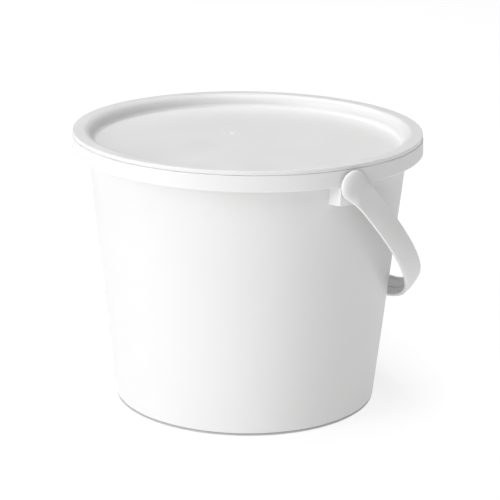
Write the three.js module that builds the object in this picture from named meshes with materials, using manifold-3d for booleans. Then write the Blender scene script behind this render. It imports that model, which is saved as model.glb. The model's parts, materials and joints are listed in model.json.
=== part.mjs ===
// Plastic fermenting bucket: a tapered pail with a down-turned rim collar and two pivot ears,
// a dished push-in lid with a flat seal ring, and a moulded strap bail that snaps into the ears.
// Units are millimetres, +Z is up, and the origin is the centre of the foot ring's underside.
// The bail turns about a line parallel to Y, and hangs on the +X side with the lid pushed home.

import * as THREE from 'three';
import { mergeVertices } from 'three/addons/utils/BufferGeometryUtils.js';
import Module from 'manifold-3d';

const wasm = await Module();
wasm.setup();

// Driving dimensions
const TURN_STEPS = 64;              // facets round the bucket, the lid and the seal
const OVERALL_HEIGHT = 230;         // floor to the lid's flat rim
const LID_RADIUS = 145;
const SHELL = 2;                    // wall of the bucket
const EPS = 0.5;                    // how far joined solids run into each other

const BASE_RADIUS = 110.7;          // outer wall carried down to the floor plane
const WALL_TAPER = 0.1026;          // outward run of the wall for each mm of height
const FOOT_HEIGHT = 2.2;            // the foot ring is set in under the wall's lower edge
const FOOT_OUTER = 105;
const FOOT_INNER = 102;
const FLOOR_TOP = 4.4;              // inner floor
const BASE_ROUND = 2.2;             // rounding where the wall meets the base

const COLLAR_TOP = 226.6;           // top of the bucket moulding
const COLLAR_BOTTOM = 213.5;
const COLLAR_TOP_RADIUS = 145.3;
const COLLAR_BOTTOM_RADIUS = 145.9;
const COLLAR_WALL = 2.4;
const COLLAR_EDGE = 0.8;            // rounding of the collar's edges
const MOUTH_ROUND = 3.2;            // rounding of the mouth, which leads the lid in

const LID_WALL = 1.8;
const LID_SKIRT_BOTTOM = 226.9;     // leaves the fine seam over the collar
const LID_SKIRT_INNER = 143.2;
const LID_EDGE = 0.4;
const DISC_TOP = 219.4;             // dished panel of the lid
const DISC_RADIUS = 125.8;          // flat part of that panel
const DISH_FILLET = 3.6;
const RIM_ROUND = 7;                // rounding from the flat rim into the dish
const RIM_INNER = 136.4;            // inner edge of the flat rim
const GATE_RADIUS = 1.8;            // mark of the moulding gate, off the panel's centre
const GATE_HEIGHT = 0.3;
const GATE_X = 4;
const GATE_Y = 28;

const SEAL_INNER = 137.2;
const SEAL_OUTER = 142.2;
const SEAL_BOTTOM = 226.9;
const SEAL_TOP = 227.9;

const PIVOT_HEIGHT = 213.9;
const EAR_HALF_WIDTH = 11.5;
const EAR_FACE = 145.4;             // outer face of the ear, from the bucket's axis
const EAR_PLATE = 3;
const EAR_RIB = 2.6;
const EAR_BOTTOM_OUTER = 198.4;     // the ear's lower edge rises slightly towards its face
const EAR_BOTTOM_INNER = 196.4;
const EAR_TOP = 225.6;              // inside the collar's top plate
const SOCKET_RADIUS = 5;

const BAIL_HALF_SPAN = 150.4;       // axis of the bucket to the middle of the strap at the pivot
const BAIL_REACH = 185.3;           // pivot line to the middle of the strap at the grip
const BAIL_POWER = 2.2;             // squareness of the bow, where 2 is an ellipse
const BAIL_STEPS = 56;
const NECK_STEPS = 4;               // the last of those steps, which hold the neck
const NECK_LENGTH = 22;             // from the eye's centre to where the strap is at its own width
const BAIL_REST_ANGLE = 46.8;       // degrees that the bail hangs below level at rest
const STRAP_WIDTH = 19.5;
const STRAP_THICKNESS = 3.2;
const CHANNEL_DEPTH = 1.1;          // shallow channel in the strap's inner face
const CHANNEL_WIDTH = 14.7;
const CHANNEL_RIB = 1.8;            // rib along the middle of the channel
const CHANNEL_START = 0.16;         // where the channel begins, as a share of the half bow

const EYE_RADIUS = 12.4;
const EYE_INNER_FACE = 147;
const EYE_OUTER_FACE = 152;
const STUD_RADIUS = 4.7;
const STUD_HEAD_RADIUS = 5.8;
const STUD_HEAD_OUTER = 142;
const STUD_HEAD_INNER = 139.8;
const STUD_SLOT = 1.8;

const HALF_TURN = Math.PI;
const QUARTER_TURN = Math.PI / 2;

const wallRadius = (height) => BASE_RADIUS + WALL_TAPER * height;
const point = (x, y) => new THREE.Vector2(x, y);

// Points along a round corner, from one angle to another, in radians
function arc(centreX, centreY, radius, from, to, steps) {
  const points = [];
  for (let i = 0; i <= steps; i += 1) {
    const angle = from + (to - from) * (i / steps);
    points.push(point(centreX + radius * Math.cos(angle), centreY + radius * Math.sin(angle)));
  }
  return points;
}

// Turns a profile of (radius, height) points about Z
function turned(points, steps = TURN_STEPS) {
  return new THREE.LatheGeometry(points, steps).rotateX(QUARTER_TURN);
}

// Stands a flat outline of (Y, Z) points up, and gives it a thickness centred on X = 0
function standingPlate(points, thickness) {
  const options = { depth: thickness, bevelEnabled: false, curveSegments: 1 };
  const plate = new THREE.ExtrudeGeometry(new THREE.Shape(points), options);
  plate.translate(0, 0, -thickness / 2);
  plate.rotateX(QUARTER_TURN);
  plate.rotateZ(QUARTER_TURN);
  return plate;
}

// A rod along Y between two distances from the bucket's axis
function rodAlongY(radius, from, to, steps) {
  const rod = new THREE.CylinderGeometry(radius, radius, to - from, steps);
  return rod.translate(0, (from + to) / 2, 0);
}

// A closed geometry as a solid that can be joined and cut
function solid(geometry) {
  const bare = geometry.clone();
  bare.deleteAttribute('normal');
  bare.deleteAttribute('uv');
  const merged = mergeVertices(bare, 1e-4);
  const index = merged.index.array;
  const triangles = [];
  for (let i = 0; i < index.length; i += 3) {
    const [a, b, c] = [index[i], index[i + 1], index[i + 2]];
    if (a !== b && b !== c && c !== a) {
      triangles.push(a, b, c);
    }
  }
  return new wasm.Manifold(new wasm.Mesh({
    numProp: 3,
    vertProperties: new Float32Array(merged.attributes.position.array),
    triVerts: new Uint32Array(triangles),
  }));
}

// The joined or cut solid as a geometry again
function geometryOf(body) {
  const mesh = body.getMesh();
  const geometry = new THREE.BufferGeometry();
  geometry.setAttribute('position', new THREE.BufferAttribute(mesh.vertProperties, 3));
  geometry.setIndex(new THREE.BufferAttribute(mesh.triVerts, 1));
  geometry.computeVertexNormals();
  return geometry;
}

function namedMesh(name, geometry, material) {
  const mesh = new THREE.Mesh(geometry, material);
  mesh.name = name;
  return mesh;
}

// Materials
const bucketPlastic = new THREE.MeshStandardMaterial({ color: 0xf2f2f1, roughness: 0.42, metalness: 0 });
const lidPlastic = new THREE.MeshStandardMaterial({ color: 0xf1f1f0, roughness: 0.4, metalness: 0 });
const bailPlastic = new THREE.MeshStandardMaterial({ color: 0xf0f0ef, roughness: 0.38, metalness: 0 });
const sealRubber = new THREE.MeshStandardMaterial({ color: 0xd9d8d4, roughness: 0.7, metalness: 0 });

// Bucket: foot ring, floor, tapered wall and down-turned collar are one turned shell
function bucketShell() {
  const collarInner = COLLAR_TOP_RADIUS - COLLAR_WALL;
  const plateUnderside = COLLAR_TOP - SHELL;
  const roundCentre = wallRadius(FOOT_HEIGHT + BASE_ROUND) - BASE_ROUND;
  const innerRadius = (height) => wallRadius(height) - SHELL;
  const mouthRoundHeight = COLLAR_TOP - MOUTH_ROUND;
  const profile = [
    point(0, FOOT_HEIGHT),
    point(FOOT_INNER, FOOT_HEIGHT),
    point(FOOT_INNER, 0),
    point(FOOT_OUTER, 0),
    point(FOOT_OUTER, FOOT_HEIGHT),
    ...arc(roundCentre, FOOT_HEIGHT + BASE_ROUND, BASE_ROUND, -QUARTER_TURN / 2, 0, 2),
    point(wallRadius(plateUnderside), plateUnderside),
    point(collarInner, plateUnderside),
    point(COLLAR_BOTTOM_RADIUS - COLLAR_WALL, COLLAR_BOTTOM + COLLAR_EDGE),
    ...arc(COLLAR_BOTTOM_RADIUS - COLLAR_WALL + COLLAR_EDGE, COLLAR_BOTTOM + COLLAR_EDGE,
      COLLAR_EDGE, -HALF_TURN * 0.75, -QUARTER_TURN, 1),
    ...arc(COLLAR_BOTTOM_RADIUS - COLLAR_EDGE, COLLAR_BOTTOM + COLLAR_EDGE,
      COLLAR_EDGE, -QUARTER_TURN, 0, 2),
    ...arc(COLLAR_TOP_RADIUS - COLLAR_EDGE, COLLAR_TOP - COLLAR_EDGE, COLLAR_EDGE, 0, QUARTER_TURN, 2),
    ...arc(innerRadius(mouthRoundHeight) + MOUTH_ROUND, mouthRoundHeight,
      MOUTH_ROUND, QUARTER_TURN, HALF_TURN, 3),
    point(innerRadius(FLOOR_TOP + BASE_ROUND), FLOOR_TOP + BASE_ROUND),
    point(innerRadius(FLOOR_TOP) - BASE_ROUND, FLOOR_TOP),
    point(0, FLOOR_TOP),
  ];
  return solid(turned(profile));
}

// One side rib of an ear: it ties the ear's plate to the wall and to the collar's top plate
function earRib(offset) {
  const wallSide = wallRadius(EAR_BOTTOM_INNER) - SHELL;
  const outline = [
    point(wallSide, EAR_BOTTOM_INNER),
    point(EAR_FACE, EAR_BOTTOM_OUTER),
    point(EAR_FACE, COLLAR_BOTTOM + EPS),
    point(COLLAR_TOP_RADIUS - COLLAR_WALL, EAR_TOP),
    point(wallRadius(EAR_TOP) - SHELL / 2, EAR_TOP),
    point(wallSide + SHELL / 2, EAR_BOTTOM_INNER + COLLAR_EDGE),
  ];
  return solid(standingPlate(outline, EAR_RIB).translate(offset, 0, 0));
}

// The ear's face plate, which runs up behind the collar
function earPlate() {
  const outline = [
    point(EAR_FACE - EAR_PLATE, EAR_BOTTOM_OUTER),
    point(EAR_FACE, EAR_BOTTOM_OUTER),
    point(EAR_FACE, COLLAR_BOTTOM + EPS),
    point(COLLAR_TOP_RADIUS - COLLAR_WALL / 2, EAR_TOP),
    point(EAR_FACE - EAR_PLATE, EAR_TOP),
  ];
  return solid(standingPlate(outline, EAR_HALF_WIDTH * 2));
}

// The two ears with the round sockets that the bail's studs snap into
function bucketWithEars() {
  const ribOffset = EAR_HALF_WIDTH - EAR_RIB / 2;
  const ear = earPlate().add(earRib(ribOffset)).add(earRib(-ribOffset));
  const socketLength = [EAR_FACE - EAR_PLATE - EPS, COLLAR_BOTTOM_RADIUS + EPS];
  const socket = solid(rodAlongY(SOCKET_RADIUS, ...socketLength, 24).translate(0, 0, PIVOT_HEIGHT));
  let body = bucketShell();
  for (const turn of [0, 180]) {
    body = body.add(ear.rotate([0, 0, turn]));
  }
  for (const turn of [0, 180]) {
    body = body.subtract(socket.rotate([0, 0, turn]));
  }
  return geometryOf(body);
}

// Lid: flat rim with a short skirt, a sloping plug wall and a dished panel with its gate mark
function lidGeometry() {
  const filletCentre = DISC_TOP + DISH_FILLET;
  const roundCentre = OVERALL_HEIGHT - RIM_ROUND;
  const rimUnderside = OVERALL_HEIGHT - LID_WALL;
  const underside = [
    point(0, DISC_TOP - LID_WALL),
    ...arc(DISC_RADIUS, filletCentre, DISH_FILLET + LID_WALL, -QUARTER_TURN, 0, 4),
    ...arc(RIM_INNER, roundCentre, RIM_ROUND - LID_WALL, HALF_TURN, QUARTER_TURN, 4),
    point(LID_SKIRT_INNER, rimUnderside),
    point(LID_SKIRT_INNER, LID_SKIRT_BOTTOM),
  ];
  const topside = [
    point(LID_RADIUS, LID_SKIRT_BOTTOM),
    ...arc(LID_RADIUS - LID_EDGE, OVERALL_HEIGHT - LID_EDGE, LID_EDGE, 0, QUARTER_TURN, 2),
    ...arc(RIM_INNER, roundCentre, RIM_ROUND, QUARTER_TURN, HALF_TURN, 4),
    ...arc(DISC_RADIUS, filletCentre, DISH_FILLET, 0, -QUARTER_TURN, 3),
    point(0, DISC_TOP),
  ];
  const gate = solid(turned([
    point(0, -EPS),
    point(GATE_RADIUS, -EPS),
    point(GATE_RADIUS, 0),
    point(GATE_RADIUS * 0.6, GATE_HEIGHT),
    point(0, GATE_HEIGHT),
  ], 16));
  const plain = solid(turned([...underside, ...topside]));
  return geometryOf(plain.add(gate.translate([GATE_X, GATE_Y, DISC_TOP])));
}

function sealGeometry() {
  const profile = [
    point(SEAL_INNER, SEAL_BOTTOM),
    point(SEAL_OUTER, SEAL_BOTTOM),
    point(SEAL_OUTER, SEAL_TOP),
    point(SEAL_INNER, SEAL_TOP),
    point(SEAL_INNER, SEAL_BOTTOM),
  ];
  return geometryOf(solid(turned(profile)));
}

// A point of the bow, moved outwards along its normal; share runs from 0 to 1, pivot to pivot
function bowPoint(share, outwards) {
  const angle = HALF_TURN * share;
  const power = 2 / BAIL_POWER;
  const cosine = Math.cos(angle);
  const sine = Math.sin(angle);
  const along = BAIL_HALF_SPAN * Math.sign(cosine) * Math.abs(cosine) ** power;
  const reach = BAIL_REACH * sine ** power;
  const slope = 2 - power;
  const normal = point(
    Math.sign(cosine) * Math.abs(cosine) ** slope / BAIL_HALF_SPAN,
    sine ** slope / BAIL_REACH,
  ).normalize();
  return point(along + outwards * normal.x, reach + outwards * normal.y);
}

// A stretch of the bow between two offsets from the strap's middle, as a solid as wide as given
function bowSolid(inner, outer, width, from = 0, to = 1, steps = BAIL_STEPS) {
  const near = [];
  const far = [];
  for (let i = 0; i <= steps; i += 1) {
    const share = from + (to - from) * (i / steps);
    near.push(bowPoint(share, inner));
    far.push(bowPoint(share, outer));
  }
  const outline = new THREE.Shape([...far, ...near.reverse()]);
  const bow = new THREE.ExtrudeGeometry(outline, { depth: width, bevelEnabled: false, curveSegments: 1 });
  bow.translate(0, 0, -width / 2);
  bow.rotateZ(-QUARTER_TURN);
  return solid(bow);
}

// The end of the strap, which widens from the strap's own width to the eye's
function bailNeck() {
  const half = STRAP_THICKNESS / 2;
  const neckShare = NECK_STEPS / BAIL_STEPS;
  const wide = bowSolid(-half, half, EYE_RADIUS * 2, 1 - neckShare, 1, NECK_STEPS);
  const outline = new THREE.Shape([
    point(-EYE_RADIUS / 2, -EYE_RADIUS),
    point(0, -EYE_RADIUS),
    point(NECK_LENGTH, -STRAP_WIDTH / 2),
    point(NECK_LENGTH, STRAP_WIDTH / 2),
    point(0, EYE_RADIUS),
    point(-EYE_RADIUS / 2, EYE_RADIUS),
  ]);
  const taper = new THREE.ExtrudeGeometry(outline, { depth: BAIL_HALF_SPAN * 2, bevelEnabled: false });
  return wide.intersect(solid(taper.rotateX(-QUARTER_TURN)));
}

// The round eye at one end, with the split stud that turns in the ear's socket
function bailEye() {
  const eye = solid(rodAlongY(EYE_RADIUS, EYE_INNER_FACE, EYE_OUTER_FACE, 40));
  const stud = solid(rodAlongY(STUD_RADIUS, STUD_HEAD_INNER, EYE_INNER_FACE + EPS, 20));
  const head = solid(rodAlongY(STUD_HEAD_RADIUS, STUD_HEAD_INNER, STUD_HEAD_OUTER, 20));
  const slotLength = EYE_INNER_FACE - STUD_HEAD_INNER;
  const slot = new THREE.BoxGeometry(STUD_HEAD_RADIUS * 3, slotLength, STUD_SLOT);
  slot.translate(0, STUD_HEAD_INNER + slotLength / 2 - EPS, 0);
  return eye.add(stud.add(head).subtract(solid(slot)));
}

// Bail: strap, channelled inner face, eyes and studs are one moulding
function bailGeometry() {
  const half = STRAP_THICKNESS / 2;
  const end = bailEye().add(bailNeck());
  const channel = bowSolid(-half - EPS, -half + CHANNEL_DEPTH, CHANNEL_WIDTH, CHANNEL_START, 1 - CHANNEL_START);
  const rib = bowSolid(-half - EPS * 2, -half + CHANNEL_DEPTH + EPS, CHANNEL_RIB, 0, 1);
  const strap = bowSolid(-half, half, STRAP_WIDTH).subtract(channel.subtract(rib));
  return geometryOf(strap.add(end).add(end.mirror([0, 1, 0])));
}

const group = new THREE.Group();
group.add(namedMesh('bucket', bucketWithEars(), bucketPlastic));
group.add(namedMesh('lid', lidGeometry(), lidPlastic));
group.add(namedMesh('lid_seal', sealGeometry(), sealRubber));

const bailPivot = new THREE.Group();
bailPivot.position.set(0, 0, PIVOT_HEIGHT);
bailPivot.rotation.y = THREE.MathUtils.degToRad(BAIL_REST_ANGLE);
bailPivot.add(namedMesh('bail_handle', bailGeometry(), bailPlastic));
group.add(bailPivot);

export default group;
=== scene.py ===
"""White plastic fermenting bucket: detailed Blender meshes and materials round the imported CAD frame.

Sizes are in millimetres, in the CAD frame, and become metres when a mesh is made.
An outline that is to be rounded is a list of (x, y, rounding) corners.
"""
import json
import math

import bmesh
import bpy
import numpy as np
from mathutils import Matrix, Quaternion, Vector


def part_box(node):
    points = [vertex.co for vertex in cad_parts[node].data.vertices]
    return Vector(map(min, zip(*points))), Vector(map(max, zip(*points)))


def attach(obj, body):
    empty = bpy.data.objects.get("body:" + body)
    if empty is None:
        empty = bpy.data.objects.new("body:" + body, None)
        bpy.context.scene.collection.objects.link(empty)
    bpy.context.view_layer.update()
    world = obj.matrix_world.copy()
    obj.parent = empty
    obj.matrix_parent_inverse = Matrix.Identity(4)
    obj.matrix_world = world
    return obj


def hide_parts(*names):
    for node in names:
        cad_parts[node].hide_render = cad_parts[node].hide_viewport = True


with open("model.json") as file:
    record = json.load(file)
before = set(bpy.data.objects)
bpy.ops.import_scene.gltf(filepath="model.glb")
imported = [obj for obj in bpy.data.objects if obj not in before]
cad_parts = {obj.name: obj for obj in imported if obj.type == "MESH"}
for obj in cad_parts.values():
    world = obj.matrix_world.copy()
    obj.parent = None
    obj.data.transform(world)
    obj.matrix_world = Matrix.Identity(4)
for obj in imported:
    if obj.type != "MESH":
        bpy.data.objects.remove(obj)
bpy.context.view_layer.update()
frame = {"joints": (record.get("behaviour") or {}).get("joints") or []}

MM = 0.001

# ---------------------------------------------------------------------------------------------
# Sizes read from the frame
# ---------------------------------------------------------------------------------------------
bail_swing = next(j for j in frame["joints"] if j["name"] == "bail_swing")
PIVOT_HEIGHT = bail_swing["pos_m"][2] / MM
BAIL_REST_ANGLE = math.radians((bail_swing["range_deg"][1] - 180) / 2)
LID_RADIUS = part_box("lid")[1].x / MM
LID_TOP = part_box("lid")[1].z / MM
COLLAR_BOTTOM_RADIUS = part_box("bucket")[1].x / MM
COLLAR_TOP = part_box("bucket")[1].z / MM
EYE_OUTER_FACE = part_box("bail_handle")[1].y / MM

# ---------------------------------------------------------------------------------------------
# Sizes of the details
# ---------------------------------------------------------------------------------------------
TURN_STEPS = 288
SMALL_TURN_STEPS = 64
OVERLAP = 0.5              # how far joined solids run into each other
SMOOTH_ANGLE = 32          # degrees between faces, below which their shading is smooth

SHELL = 2.0
BASE_RADIUS = 110.7        # outer wall carried down to the floor plane
WALL_TAPER = 0.1026        # outward run of the wall for each mm of height
FOOT_HEIGHT = 2.2
FOOT_OUTER = 105.0
FOOT_INNER = 102.0
FLOOR_TOP = 4.4
BASE_GATE_RADIUS = 5.8     # recess of the moulding gate under the floor
BASE_GATE_DEPTH = 0.8
COLLAR_BOTTOM = COLLAR_TOP - 13.1
COLLAR_TOP_RADIUS = COLLAR_BOTTOM_RADIUS - 0.6
COLLAR_WALL = 2.4
MOUTH_ROUND = 3.2

LID_WALL = 1.8
SKIRT_BOTTOM = COLLAR_TOP + 0.2
SKIRT_INNER = LID_RADIUS - 1.8
RIM_ROUND = 7.0
DISH_FILLET = 3.6
DISC_TOP = LID_TOP - RIM_ROUND - DISH_FILLET
DISH_WALL = 129.4
SEAL_INNER = 137.2

GATE_PLACE = (4.0, 28.0)   # mark of the moulding gate on the lid's panel
GATE_WELL_RADIUS = 6.0     # disc of the panel that is cut out and put back with the mark
GATE_WELL_DEPTH = 0.9
GATE_DISH_RADIUS = 5.2
GATE_DISH_DEPTH = 0.22
GATE_NUB_RADIUS = 1.6
GATE_NUB_HEIGHT = 0.2

EAR_FACE = 145.4           # outer face of the ear, from the bucket's axis
EAR_HALF_WIDTH = 11.5
EAR_PLATE = 3.0
EAR_RIB = 2.6
EAR_BOTTOM_INNER = 196.4   # the ear's lower edge rises slightly towards its face
EAR_BOTTOM_OUTER = 198.4
EAR_SINK = 1.4             # how far the ear runs into the wall
EAR_EDGE = 0.5
SOCKET_RADIUS = 5.0

EYE_RADIUS = 12.4
EYE_THICKNESS = 5.0
STRAP_HALF_WIDTH = 9.75
STRAP_THICKNESS = 3.2
STRAP_CROWN = 0.9          # how far the middle of the outer face stands over its edges
STRAP_EDGE = 0.9
EYE_EDGE_WIDTH = 8.6       # what the eye's dome adds to that edge, in width and in depth
EYE_EDGE_DEPTH = 3.3
INNER_EDGE = 0.6
BAIL_HALF_SPAN = EYE_OUTER_FACE - STRAP_THICKNESS / 2
BAIL_REACH = 185.3         # pivot line to the middle of the strap at the grip
BAIL_POWER = 2.2           # squareness of the bow, where 2 is an ellipse
NECK_RADIUS = 80.0
CHANNEL_DEPTH = 1.1        # shallow channel in the strap's inner face, with a rib along its middle
CHANNEL_START = 34.0

# Sections along the strap: a fine stretch at each eye, then even steps
FINE_REACH = 20
FINE_STEP = 0.7
STRAP_STEPS = 240

# Distances past the eye's centre over which a shape fades or rises
DOME_FADE = (4, 17)
BOSS_FADE = (9, 14)
CROWN_RISE = (20, 40)
CHANNEL_RISE = (CHANNEL_START, CHANNEL_START + 5)

# Distances from the strap's middle line: sides of the rib and of the channel, and the section's points
RIB_SIDE = (0.7, 1.25)
CHANNEL_SIDE = (6.95, 7.75)
INNER_POINTS = (0, 0.65, 0.85, 1.1, 1.3, 2.5, 4.4, 6.2, 6.95, 7.2, 7.5, 7.8, 8.4)

STUD_RADIUS = 4.7
STUD_HEAD_RADIUS = 5.8
STUD_HEAD_REACH = 2.6      # how far the stud's head reaches in past the ear's plate
STUD_SLOT = 1.8


def wall_radius(height):
    return BASE_RADIUS + WALL_TAPER * height


def smooth_step(low, high, value):
    t = np.clip((value - low) / (high - low), 0.0, 1.0)
    return t * t * (3 - 2 * t)


# ---------------------------------------------------------------------------------------------
# Mesh helpers
# ---------------------------------------------------------------------------------------------
def rounded(corners, steps=6):
    """An outline of (x, y, radius) corners with each corner turned into an arc."""
    points = []
    count = len(corners)
    for i, (x, y, radius) in enumerate(corners):
        here = Vector((x, y))
        if radius <= 0:
            points.append(here)
            continue
        before = Vector(corners[i - 1][:2]) - here
        after = Vector(corners[(i + 1) % count][:2]) - here
        before.normalize()
        after.normalize()
        half = before.angle(after) / 2
        reach = radius / math.tan(half)
        centre = here + (before + after).normalized() * (radius / math.sin(half))
        start = here + before * reach - centre
        end = here + after * reach - centre
        sweep = start.angle(end)
        turn = math.copysign(sweep, start.x * end.y - start.y * end.x)
        for k in range(steps + 1):
            angle = turn * k / steps
            c, s = math.cos(angle), math.sin(angle)
            points.append(centre + Vector((start.x * c - start.y * s, start.x * s + start.y * c)))
    return points


def mesh_object(name, vertices, faces):
    """A mesh object from points in millimetres, with its faces turned outwards."""
    mesh = bpy.data.meshes.new(name)
    mesh.from_pydata([Vector(v) * MM for v in vertices], [], faces)
    tidy = bmesh.new()
    tidy.from_mesh(mesh)
    bmesh.ops.remove_doubles(tidy, verts=tidy.verts, dist=1e-7)
    bmesh.ops.recalc_face_normals(tidy, faces=tidy.faces)
    tidy.to_mesh(mesh)
    tidy.free()
    obj = bpy.data.objects.new(name, mesh)
    bpy.context.scene.collection.objects.link(obj)
    return obj


def guarded(profile, guard=0.5):
    """Adds a point near both ends of each long straight, so that smooth shading stays in the corners."""
    points = []
    closing = [] if profile[0][0] < 1e-6 else [profile[0]]
    for one, two in zip(profile, profile[1:] + closing):
        here, there = Vector(one), Vector(two)
        points.append(here)
        length = (there - here).length
        if length > 4 * guard:
            points.append(here.lerp(there, guard / length))
            points.append(here.lerp(there, 1 - guard / length))
    if not closing:
        points.append(Vector(profile[-1]))
    return points


def lathe(name, profile, steps=TURN_STEPS):
    """Turns a profile of (radius, height) about Z: it closes on itself, or starts and ends on the axis."""
    vertices = []
    rings = []
    for radius, height in guarded(profile):
        if radius < 1e-6:
            rings.append([len(vertices)] * steps)
            vertices.append((0, 0, height))
            continue
        rings.append(list(range(len(vertices), len(vertices) + steps)))
        for k in range(steps):
            angle = 2 * math.pi * k / steps
            vertices.append((radius * math.cos(angle), radius * math.sin(angle), height))
    pairs = list(zip(rings, rings[1:]))
    if profile[0][0] > 1e-6:
        pairs.append((rings[-1], rings[0]))
    faces = []
    for low, high in pairs:
        for k in range(steps):
            after = (k + 1) % steps
            face = [low[k], low[after], high[after], high[k]]
            face = list(dict.fromkeys(face))
            if len(face) > 2:
                faces.append(face)
    return mesh_object(name, vertices, faces)


def baked(obj):
    """Applies the object's modifiers, so that its mesh is the final one."""
    graph = bpy.context.evaluated_depsgraph_get()
    mesh = bpy.data.meshes.new_from_object(obj.evaluated_get(graph))
    obj.modifiers.clear()
    obj.data = mesh
    return obj


def boolean(obj, operation, *others):
    """Joins other solids to the object or cuts them out of it, and removes them."""
    for other in others:
        modifier = obj.modifiers.new(operation, "BOOLEAN")
        modifier.operation = operation
        modifier.solver = "EXACT"
        modifier.object = other
        baked(obj)
        bpy.data.objects.remove(other)
    return obj


def bevelled(obj, width, segments=3):
    """Rounds the object's sharp edges by so many millimetres."""
    modifier = obj.modifiers.new("edges", "BEVEL")
    modifier.width = width * MM
    modifier.segments = segments
    modifier.limit_method = "ANGLE"
    modifier.angle_limit = math.radians(30)
    return baked(obj)


def smooth(obj, angle=SMOOTH_ANGLE):
    obj.data.shade_smooth()
    obj.data.set_sharp_from_angle(angle=math.radians(angle))
    return obj


# ---------------------------------------------------------------------------------------------
# Bucket
# ---------------------------------------------------------------------------------------------
def bucket_shell():
    """Foot ring, floor, tapered wall and down-turned collar, as one turned shell."""
    plate_underside = COLLAR_TOP - SHELL
    collar_inner = COLLAR_TOP_RADIUS - COLLAR_WALL
    corners = [
        (0, FOOT_HEIGHT + BASE_GATE_DEPTH, 0),
        (BASE_GATE_RADIUS - BASE_GATE_DEPTH, FOOT_HEIGHT + BASE_GATE_DEPTH, 0.3),
        (BASE_GATE_RADIUS, FOOT_HEIGHT, 0.3),
        (FOOT_INNER, FOOT_HEIGHT, 0.8),
        (FOOT_INNER, 0, 0.7),
        (FOOT_OUTER, 0, 0.8),
        (FOOT_OUTER + 0.1, FOOT_HEIGHT, 0.3),
        (wall_radius(FOOT_HEIGHT), FOOT_HEIGHT, 0.9),
        (wall_radius(plate_underside), plate_underside, 1.5),
        (collar_inner, plate_underside, 1.2),
        (COLLAR_BOTTOM_RADIUS - COLLAR_WALL, COLLAR_BOTTOM, 1.1),
        (COLLAR_BOTTOM_RADIUS, COLLAR_BOTTOM, 1.1),
        (COLLAR_TOP_RADIUS, COLLAR_TOP, 0.8),
        (wall_radius(COLLAR_TOP) - SHELL, COLLAR_TOP, MOUTH_ROUND),
        (wall_radius(FLOOR_TOP) - SHELL, FLOOR_TOP, 4.0),
        (0, FLOOR_TOP, 0),
    ]
    return lathe("bucket_body", rounded(corners))


def ear_block(side):
    """One pivot ear: a face plate and two side ribs, open below, from the wall to the collar."""
    def wall_y(height):
        return wall_radius(height) - EAR_SINK

    inner_x = EAR_HALF_WIDTH - EAR_RIB
    outline = [
        (-EAR_HALF_WIDTH, "wall"), (-EAR_HALF_WIDTH, "face"), (EAR_HALF_WIDTH, "face"),
        (EAR_HALF_WIDTH, "wall"), (inner_x, "wall"), (inner_x, "plate"),
        (-inner_x, "plate"), (-inner_x, "wall"),
    ]
    levels = [
        (EAR_BOTTOM_INNER, EAR_FACE),
        (COLLAR_BOTTOM + OVERLAP, EAR_FACE),
        (COLLAR_TOP - SHELL / 2, COLLAR_TOP_RADIUS - COLLAR_WALL / 2),
    ]
    rise = EAR_BOTTOM_OUTER - EAR_BOTTOM_INNER
    vertices = []
    for level, (height, face_y) in enumerate(levels):
        depth = {"wall": wall_y(height), "face": face_y, "plate": EAR_FACE - EAR_PLATE}
        for x, part in outline:
            y = depth[part]
            lift = 0
            if level == 0:
                lift = rise * (y - wall_y(height)) / (EAR_FACE - wall_y(height))
            vertices.append((x, side * y, height + lift))
    count = len(outline)
    faces = [list(range(count)), list(range(2 * count, 3 * count))]
    for level in range(2):
        for k in range(count):
            after = (k + 1) % count
            low, high = level * count, (level + 1) * count
            faces.append([low + k, low + after, high + after, high + k])
    return bevelled(mesh_object("ear", vertices, faces), EAR_EDGE)


def turned_on_pivot(outline, side):
    """A solid turned about the pivot line, from points of (radius, distance from the bucket's axis)."""
    obj = lathe("rod", outline, SMALL_TURN_STEPS)
    turn = Matrix.Rotation(-side * math.pi / 2, 4, "X")
    obj.data.transform(Matrix.Translation((0, 0, PIVOT_HEIGHT * MM)) @ turn)
    return obj


def socket_bore(side):
    """The round hole through the ear's plate and the collar, ready to be cut out."""
    start = EAR_FACE - EAR_PLATE - 0.6
    end = COLLAR_BOTTOM_RADIUS + 1
    return turned_on_pivot([(0, start), (SOCKET_RADIUS, start), (SOCKET_RADIUS, end), (0, end)], side)


def make_bucket():
    body = bucket_shell()
    boolean(body, "UNION", ear_block(-1), ear_block(1))
    boolean(body, "DIFFERENCE", socket_bore(-1), socket_bore(1))
    return smooth(body)


# ---------------------------------------------------------------------------------------------
# Lid and its seal
# ---------------------------------------------------------------------------------------------
def make_lid():
    """Flat rim with a short skirt, upright plug wall and dished panel with its gate mark."""
    plug_wall = DISH_WALL + LID_WALL
    corners = [
        (0, DISC_TOP - LID_WALL, 0),
        (plug_wall, DISC_TOP - LID_WALL, DISH_FILLET + LID_WALL),
        (plug_wall, LID_TOP - LID_WALL, RIM_ROUND - LID_WALL),
        (SKIRT_INNER, LID_TOP - LID_WALL, 0.3),
        (SKIRT_INNER, SKIRT_BOTTOM, 0.3),
        (LID_RADIUS, SKIRT_BOTTOM, 0.3),
        (LID_RADIUS, LID_TOP, 0.4),
        (DISH_WALL, LID_TOP, RIM_ROUND),
        (DISH_WALL, DISC_TOP, DISH_FILLET),
        (0, DISC_TOP, 0),
    ]
    lid = lathe("lid_panel", rounded(corners, 10))
    bottom = -GATE_WELL_DEPTH
    well = [(0, bottom), (GATE_WELL_RADIUS, bottom), (GATE_WELL_RADIUS, 1), (0, 1)]
    boolean(lid, "DIFFERENCE", gate_piece(well))
    return smooth(boolean(lid, "UNION", gate_mark()))


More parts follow.
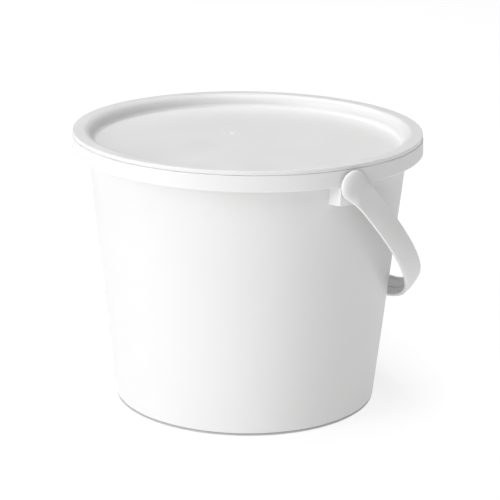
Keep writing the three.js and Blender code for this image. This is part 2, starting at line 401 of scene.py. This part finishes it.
def gate_mark():
    """The disc that fills the well in the panel: a shallow dish with a low nub in its middle."""
    sunk = 0.2
    bottom = -GATE_WELL_DEPTH - sunk
    return gate_piece(rounded([
        (0, bottom, 0),
        (GATE_WELL_RADIUS + sunk, bottom, 0),
        (GATE_WELL_RADIUS + sunk, -0.3, 0),
        (GATE_WELL_RADIUS, -0.3, 0),
        (GATE_WELL_RADIUS, 0, 0),
        (GATE_DISH_RADIUS, 0, 1.0),
        (GATE_DISH_RADIUS - 1.8, -GATE_DISH_DEPTH, 1.2),
        (GATE_NUB_RADIUS * 1.5, -GATE_DISH_DEPTH, 0.4),
        (GATE_NUB_RADIUS, GATE_NUB_HEIGHT, 0.4),
        (0, GATE_NUB_HEIGHT, 0),
    ]))


def gate_piece(profile):
    """A small turned solid at the gate mark's place on the panel."""
    piece = lathe("gate", profile, SMALL_TURN_STEPS)
    place = Vector((*GATE_PLACE, DISC_TOP)) * MM
    piece.data.transform(Matrix.Translation(place))
    return piece


def make_seal():
    low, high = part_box("lid_seal")
    outer = high.x / MM
    bottom, top = low.z / MM, high.z / MM
    corners = [(SEAL_INNER, bottom, 0.3), (outer, bottom, 0.3), (outer, top, 0.3), (SEAL_INNER, top, 0.3)]
    return smooth(lathe("seal_ring", rounded(corners, 4)), 60)


# ---------------------------------------------------------------------------------------------
# Bail handle
# ---------------------------------------------------------------------------------------------
def bow_line(count=6000):
    """The middle line of the bow from pivot to pivot: arc length, points and outward normals."""
    angle = np.linspace(0, math.pi, count)
    power = 2 / BAIL_POWER
    c, s = np.cos(angle), np.sin(angle)
    s = np.clip(s, 0, 1)
    points = np.stack([BAIL_HALF_SPAN * np.sign(c) * np.abs(c) ** power, BAIL_REACH * s ** power], 1)
    normals = np.stack(
        [np.sign(c) * np.abs(c) ** (2 - power) / BAIL_HALF_SPAN, s ** (2 - power) / BAIL_REACH], 1
    )
    normals /= np.linalg.norm(normals, axis=1)[:, None]
    length = np.concatenate([[0], np.cumsum(np.linalg.norm(np.diff(points, axis=0), axis=1))])
    return length, points, normals


def half_width(v):
    """Half the strap's width at a distance v past the eye's centre: round eye, neck, then straight."""
    spread = EYE_RADIUS + NECK_RADIUS
    neck_v = math.sqrt(spread ** 2 - (STRAP_HALF_WIDTH + NECK_RADIUS) ** 2)
    if v >= neck_v:
        return STRAP_HALF_WIDTH
    if v > EYE_RADIUS * neck_v / spread:
        return STRAP_HALF_WIDTH + NECK_RADIUS - math.sqrt(NECK_RADIUS ** 2 - (v - neck_v) ** 2)
    return math.sqrt(EYE_RADIUS ** 2 - v ** 2)


def quarter_round(steps):
    """Angles from 0 to a quarter turn."""
    return [math.pi / 2 * k / steps for k in range(steps + 1)]


def inner_face(v, width, level):
    """Half of the inner face, from its middle to its rounded edge, with the channel and its rib."""
    channel = CHANNEL_DEPTH * smooth_step(*CHANNEL_RISE, v)
    stretch = (width - INNER_EDGE) / (STRAP_HALF_WIDTH - INNER_EDGE)
    section = []
    for base in INNER_POINTS:
        in_channel = smooth_step(*RIB_SIDE, base) * (1 - smooth_step(*CHANNEL_SIDE, base))
        section.append((base * stretch, level + channel * in_channel))
    for angle in quarter_round(4):
        across = width - INNER_EDGE + INNER_EDGE * math.sin(angle)
        section.append((across, level + INNER_EDGE * (1 - math.cos(angle))))
    return section


def outer_face(v, width, dome, boss):
    """Half of the outer face, from its rounded edge to its middle: domed on the eye, then crowned."""
    edge_level = STRAP_THICKNESS / 2
    crown = STRAP_CROWN * smooth_step(*CROWN_RISE, v)
    round_width = STRAP_EDGE + EYE_EDGE_WIDTH * dome
    round_depth = STRAP_EDGE + EYE_EDGE_DEPTH * boss * dome
    flat = width - round_width
    section = []
    for angle in quarter_round(9):
        across = flat + round_width * math.cos(angle)
        section.append((across, edge_level - round_depth * (1 - math.sin(angle))))
    for share in (0.85, 0.7, 0.5, 0.25, 0):
        section.append((flat * share, edge_level + crown - crown * share ** 2))
    return section


def half_section(v):
    """Half of the strap's section at v, as (across, height): from the middle of the inner face, round
    the edge, to the middle of the outer face. Height is measured from the strap's middle, outwards."""
    width = half_width(v)
    dome = 1 - smooth_step(*DOME_FADE, v)
    boss = 1 - smooth_step(*BOSS_FADE, v)
    inner_level = -STRAP_THICKNESS / 2 - (EYE_THICKNESS - STRAP_THICKNESS) * boss
    return inner_face(v, width, inner_level) + outer_face(v, width, dome, boss)


def bail_point(reach, along, across):
    """A point of the bail, turned from level down to where it hangs at rest."""
    c, s = math.cos(BAIL_REST_ANGLE), math.sin(BAIL_REST_ANGLE)
    return (reach * c + across * s, along, PIVOT_HEIGHT - reach * s + across * c)


def full_ring(section, place):
    """The closed loop of points round a section: its one half and the mirror of it."""
    right = [place(across, height) for across, height in section]
    left = [place(-across, height) for across, height in section[1:-1]]
    return right + left[::-1]


def make_bail():
    """The strap with its two round eyes, as one skin."""
    length, points, normals = bow_line()
    total = length[-1]
    near = list(np.arange(0, FINE_REACH, FINE_STEP))
    middle = list(np.linspace(FINE_REACH, total - FINE_REACH, STRAP_STEPS))
    stations = near + middle + [total - v for v in near[::-1]]
    vertices = []
    rings = []
    for s in stations:
        centre = [np.interp(s, length, points[:, k]) for k in range(2)]
        normal = [np.interp(s, length, normals[:, k]) for k in range(2)]

        def place(across, height):
            along = centre[0] + height * normal[0]
            reach = centre[1] + height * normal[1]
            return bail_point(reach, along, across)

        ring = full_ring(half_section(min(s, total - s)), place)
        rings.append(list(range(len(vertices), len(vertices) + len(ring))))
        vertices.extend(ring)
    faces = []
    size = len(rings[0])
    for one, two in zip(rings, rings[1:]):
        for k in range(size):
            after = (k + 1) % size
            faces.append([one[k], one[after], two[after], two[k]])
    for ring, side in ((rings[0], 1), (rings[-1], -1)):
        add_eye_end(vertices, faces, ring, side)
    return smooth(mesh_object("bail_strap", vertices, faces))


def add_eye_end(vertices, faces, ring, side, steps=40):
    """Closes one end of the strap with the round half of its eye."""
    section = half_section(0)
    last = len(section) - 1
    size = len(ring)
    fans = [[ring[i] for i in range(last + 1)]]
    for step in range(1, steps):
        angle = math.pi * step / steps
        fan = [ring[0]]
        for across, height in section[1:-1]:
            fan.append(len(vertices))
            along = side * (BAIL_HALF_SPAN + height)
            reach = -across * math.sin(angle)
            vertices.append(bail_point(reach, along, across * math.cos(angle)))
        fan.append(ring[last])
        fans.append(fan)
    fans.append([ring[0]] + [ring[size - i] for i in range(1, last)] + [ring[last]])
    for one, two in zip(fans, fans[1:]):
        for i in range(last):
            face = list(dict.fromkeys([one[i], one[i + 1], two[i + 1], two[i]]))
            if len(face) > 2:
                faces.append(face)


def make_stud(side, name):
    """The split snap stud behind an eye, which turns in the ear's socket."""
    eye_inner = EYE_OUTER_FACE - EYE_THICKNESS
    tip = EAR_FACE - EAR_PLATE - STUD_HEAD_REACH
    corners = [
        (0, tip, 0),
        (STUD_HEAD_RADIUS - 1.2, tip, 0.3),
        (STUD_HEAD_RADIUS, tip + 1.3, 0.3),
        (STUD_HEAD_RADIUS, tip + 2.0, 0.2),
        (STUD_RADIUS, tip + 2.3, 0.2),
        (STUD_RADIUS, eye_inner + 0.4, 0),
        (0, eye_inner + 0.4, 0),
    ]
    stud = turned_on_pivot(rounded(corners, 3), side)
    slot_low, slot_high = tip - 1, eye_inner - 0.3
    reach = STUD_HEAD_RADIUS * 1.5
    box = []
    for x in (-reach, reach):
        for y in (slot_low, slot_high):
            for z in (-STUD_SLOT / 2, STUD_SLOT / 2):
                box.append(bail_point(x, side * y, z))
    sides = [(0, 1, 3, 2), (4, 6, 7, 5), (0, 4, 5, 1), (2, 3, 7, 6), (0, 2, 6, 4), (1, 5, 7, 3)]
    boolean(stud, "DIFFERENCE", mesh_object("slot", box, sides))
    stud.name = name
    stud.data.name = name
    return smooth(stud)


# ---------------------------------------------------------------------------------------------
# Materials
# ---------------------------------------------------------------------------------------------
class Nodes:
    """Short ways to add and join shader nodes."""

    def __init__(self, material):
        self.tree = material.node_tree
        self.tree.nodes.clear()

    def add(self, kind, **settings):
        node = self.tree.nodes.new(kind)
        for key, value in settings.items():
            setattr(node, key, value)
        return node

    def link(self, output, socket):
        self.tree.links.new(output, socket)

    def noise(self, coordinates, scale, detail=3.0, roughness=0.5, stretch=(1, 1, 1)):
        mapping = self.add("ShaderNodeMapping")
        mapping.inputs["Scale"].default_value = stretch
        self.link(coordinates, mapping.inputs["Vector"])
        noise = self.add("ShaderNodeTexNoise")
        noise.inputs["Scale"].default_value = scale
        noise.inputs["Detail"].default_value = detail
        noise.inputs["Roughness"].default_value = roughness
        self.link(mapping.outputs["Vector"], noise.inputs["Vector"])
        return noise.outputs["Fac"]

    def ranged(self, value, low, high, to_low, to_high):
        node = self.add("ShaderNodeMapRange")
        for key, number in (("From Min", low), ("From Max", high), ("To Min", to_low), ("To Max", to_high)):
            node.inputs[key].default_value = number
        self.link(value, node.inputs["Value"])
        return node.outputs["Result"]

    def mixed(self, factor, first, second, blend="MIX"):
        node = self.add("ShaderNodeMix", data_type="RGBA", blend_type=blend)
        for key, value in (("Factor", factor), ("A", first), ("B", second)):
            socket = next(s for s in node.inputs if s.name == key and (s.type == "RGBA" or key == "Factor"))
            if isinstance(value, (tuple, float)):
                socket.default_value = value
            else:
                self.link(value, socket)
        return next(s for s in node.outputs if s.type == "RGBA")

    def bump(self, height, strength, distance, normal=None):
        node = self.add("ShaderNodeBump")
        node.inputs["Strength"].default_value = strength
        node.inputs["Distance"].default_value = distance
        self.link(height, node.inputs["Height"])
        if normal is not None:
            self.link(normal, node.inputs["Normal"])
        return node.outputs["Normal"]


CLOUD_CONTRAST = 0.015
SCUFF_CONTRAST = 0.05


def grey(level):
    return (level, level, level * 0.997, 1.0)


def moulded_plastic(name, bright, gloss, flow_stretch=(1.0, 1.0, 1.0), depth=0.12, specular=0.5):
    """Satin white moulded plastic: cloudy tone, faint flow marks, hairline scuffs and a fine skin."""
    dull = bright - CLOUD_CONTRAST
    material = bpy.data.materials.new(name)
    material.use_nodes = True
    nodes = Nodes(material)
    shader = nodes.add("ShaderNodeBsdfPrincipled")
    output = nodes.add("ShaderNodeOutputMaterial")
    nodes.link(shader.outputs["BSDF"], output.inputs["Surface"])
    place = nodes.add("ShaderNodeTexCoord").outputs["Object"]

    cloud = nodes.noise(place, 9.0, 4.0, 0.55)
    flow = nodes.noise(place, 26.0, 2.0, 0.4, flow_stretch)
    scuff = nodes.noise(place, 160.0, 6.0, 0.7, (1.0, 1.0, 9.0))
    skin = nodes.noise(place, 1500.0, 2.0, 0.5)

    tone = nodes.ranged(cloud, 0.3, 0.7, 0.0, 1.0)
    colour = nodes.mixed(tone, grey(dull), grey(bright))
    mark = nodes.ranged(scuff, 0.66, 0.78, 0.0, 0.5)
    colour = nodes.mixed(mark, colour, grey(dull - SCUFF_CONTRAST))
    nodes.link(colour, shader.inputs["Base Color"])

    sheen_map = nodes.ranged(flow, 0.3, 0.7, gloss - 0.04, gloss + 0.06)
    nodes.link(sheen_map, shader.inputs["Roughness"])
    waves = nodes.bump(flow, 0.10, 0.0004)
    nodes.link(nodes.bump(skin, 0.12, 0.00006, waves), shader.inputs["Normal"])
    shader.inputs["IOR"].default_value = 1.49
    shader.inputs["Specular IOR Level"].default_value = specular
    shader.inputs["Subsurface Weight"].default_value = depth
    shader.inputs["Subsurface Radius"].default_value = (1.0, 1.0, 1.0)
    shader.inputs["Subsurface Scale"].default_value = 0.003
    return material


def soft_rubber(name):
    """Pale soft seal: matt, slightly mottled."""
    material = bpy.data.materials.new(name)
    material.use_nodes = True
    nodes = Nodes(material)
    shader = nodes.add("ShaderNodeBsdfPrincipled")
    output = nodes.add("ShaderNodeOutputMaterial")
    nodes.link(shader.outputs["BSDF"], output.inputs["Surface"])
    place = nodes.add("ShaderNodeTexCoord").outputs["Object"]
    mottle = nodes.noise(place, 240.0, 4.0, 0.6)
    tone = nodes.ranged(mottle, 0.3, 0.7, 0.0, 1.0)
    colour = nodes.mixed(tone, (0.66, 0.65, 0.62, 1.0), (0.74, 0.73, 0.70, 1.0))
    nodes.link(colour, shader.inputs["Base Color"])
    nodes.link(nodes.ranged(mottle, 0.3, 0.7, 0.62, 0.8), shader.inputs["Roughness"])
    nodes.link(nodes.bump(mottle, 0.3, 0.0001), shader.inputs["Normal"])
    return material


def pale_floor(name):
    """White floor that glows like a lit backdrop, except in a disc under the bucket. There its glow is cut
    and its colour changed, which is painted shade that darkens the gap under the foot.
    """
    material = bpy.data.materials.new(name)
    material.use_nodes = True
    nodes = Nodes(material)
    shader = nodes.add("ShaderNodeBsdfPrincipled")
    output = nodes.add("ShaderNodeOutputMaterial")
    nodes.link(shader.outputs["BSDF"], output.inputs["Surface"])
    place = nodes.add("ShaderNodeTexCoord").outputs["Object"]
    distance = nodes.add("ShaderNodeVectorMath", operation="LENGTH")
    nodes.link(place, distance.inputs[0])
    # Painted shade: in a disc under the bucket the floor's glow drops and its colour changes.
    edge = (PAINTED_SHADE_RADIUS * MM, (PAINTED_SHADE_RADIUS + PAINTED_SHADE_BLUR) * MM)
    glow = nodes.ranged(distance.outputs["Value"], *edge, PAINTED_SHADE_GLOW, FLOOR_GLOW)
    nodes.link(glow, shader.inputs["Emission Strength"])
    white = nodes.ranged(distance.outputs["Value"], *edge, PAINTED_SHADE_ALBEDO, FLOOR_ALBEDO)
    nodes.link(white, shader.inputs["Base Color"])
    shader.inputs["Roughness"].default_value = 1.0
    shader.inputs["Specular IOR Level"].default_value = 0.0
    shader.inputs["Emission Color"].default_value = (1.0, 1.0, 1.0, 1.0)
    return material


# ---------------------------------------------------------------------------------------------
# Floor, light and camera
# ---------------------------------------------------------------------------------------------
VIEW_AZIMUTH = math.radians(-34.1)
VIEW_ELEVATION = math.radians(17.0)
VIEW_ROLL = math.radians(0.79)
VIEW_DISTANCE = 1554.0
LENS = 131.8
AIM_HEIGHT = 116.0
AIM_RIGHT = 3.15
AIM_UP = 7.4

FLOOR_RADIUS = 9000.0
FLOOR_THICKNESS = 0.2
FLOOR_ALBEDO = 0.3
# Painted shade under the bucket: inside this radius the floor's glow drops to the shade glow and its colour
# changes to the shade albedo, so the gap under the foot looks dark.
PAINTED_SHADE_RADIUS = BASE_RADIUS - 0.6
PAINTED_SHADE_BLUR = 0.4
PAINTED_SHADE_ALBEDO = 0.8
PAINTED_SHADE_GLOW = 0.09
FLOOR_GLOW = 0.76
SKY = 0.11

# Soft boxes: azimuth from the camera's and elevation, in degrees, and power in watts.
# Their distance and size are in metres.
SOFT_BOXES = {
    "low_left": (-55, 8, 89),
    "left": (-55, 30, 42),
    "back_left": (-150, 55, 64),
    "front_top": (0, 55, 38),
    "top": (0, 85, 77),
}
BOX_DISTANCE = 4.5
BOX_SIZE = 2.2


def make_floor():
    bottom = -FLOOR_THICKNESS
    floor = lathe("floor", [(0, bottom), (FLOOR_RADIUS, bottom), (FLOOR_RADIUS, 0), (0, 0)], 96)
    floor.data.materials.append(pale_floor("floor_white"))


def make_sky():
    world = bpy.data.worlds.new("studio")
    world.use_nodes = True
    background = world.node_tree.nodes["Background"]
    background.inputs["Color"].default_value = (1.0, 1.0, 1.0, 1.0)
    background.inputs["Strength"].default_value = SKY
    bpy.context.scene.world = world


def direction(azimuth, elevation):
    """From the object towards a viewer at that azimuth and elevation, in radians."""
    flat = math.cos(elevation)
    return Vector((math.sin(azimuth) * flat, -math.cos(azimuth) * flat, math.sin(elevation)))


def soft_light(name, azimuth, elevation, power):
    """A square soft box that faces the bucket."""
    data = bpy.data.lights.new(name, "AREA")
    data.shape = "SQUARE"
    data.size = BOX_SIZE
    data.energy = power
    light = bpy.data.objects.new(name, data)
    bpy.context.scene.collection.objects.link(light)
    back = direction(VIEW_AZIMUTH + math.radians(azimuth), math.radians(elevation))
    light.location = back * BOX_DISTANCE + Vector((0, 0, AIM_HEIGHT * MM))
    light.rotation_mode = "QUATERNION"
    light.rotation_quaternion = back.to_track_quat("Z", "Y")


def make_camera():
    data = bpy.data.cameras.new("camera")
    data.sensor_width = 36.0
    data.lens = LENS
    data.clip_start = 0.05
    data.clip_end = 50.0
    camera = bpy.data.objects.new("camera", data)
    bpy.context.scene.collection.objects.link(camera)
    back = direction(VIEW_AZIMUTH, VIEW_ELEVATION)
    right = Vector((math.cos(VIEW_AZIMUTH), math.sin(VIEW_AZIMUTH), 0))
    up = back.cross(right)
    place = Vector((0, 0, AIM_HEIGHT)) + back * VIEW_DISTANCE + right * AIM_RIGHT + up * AIM_UP
    camera.location = place * MM
    camera.rotation_mode = "QUATERNION"
    camera.rotation_quaternion = back.to_track_quat("Z", "Y") @ Quaternion((0, 0, 1), VIEW_ROLL)
    bpy.context.scene.camera = camera


# ---------------------------------------------------------------------------------------------
# The scene
# ---------------------------------------------------------------------------------------------
def finish_piece(obj, body, slot, material, *nodes):
    """Gives a piece its material, attaches it to the body it rides on, and hides the CAD nodes it stands
    for.
    """
    obj.data.materials.clear()
    obj.data.materials.append(material)
    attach(obj, body)
    if nodes:
        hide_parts(*nodes)


bpy.context.scene.view_settings.view_transform = "Standard"
make_camera()
make_floor()
make_sky()
for box_name, place in SOFT_BOXES.items():
    soft_light(box_name, *place)

wall_plastic = moulded_plastic("bucket_white", 0.83, 0.40, flow_stretch=(1.0, 1.0, 0.25))
lid_plastic = moulded_plastic("lid_white", 0.83, 0.38)
bail_plastic = moulded_plastic("bail_white", 0.76, 0.46, depth=0.7, specular=0.35)
seal_rubber = soft_rubber("seal_soft")

finish_piece(make_bucket(), "bucket", "bucket_plastic", wall_plastic, "bucket")
finish_piece(make_lid(), "lid", "lid_plastic", lid_plastic, "lid")
finish_piece(make_seal(), "lid", "seal_rubber", seal_rubber, "lid_seal")
finish_piece(make_bail(), "bail", "bail_plastic", bail_plastic, "bail_handle")
finish_piece(make_stud(-1, "bail_stud_front"), "bail", "bail_plastic", bail_plastic)
finish_piece(make_stud(1, "bail_stud_back"), "bail", "bail_plastic", bail_plastic)
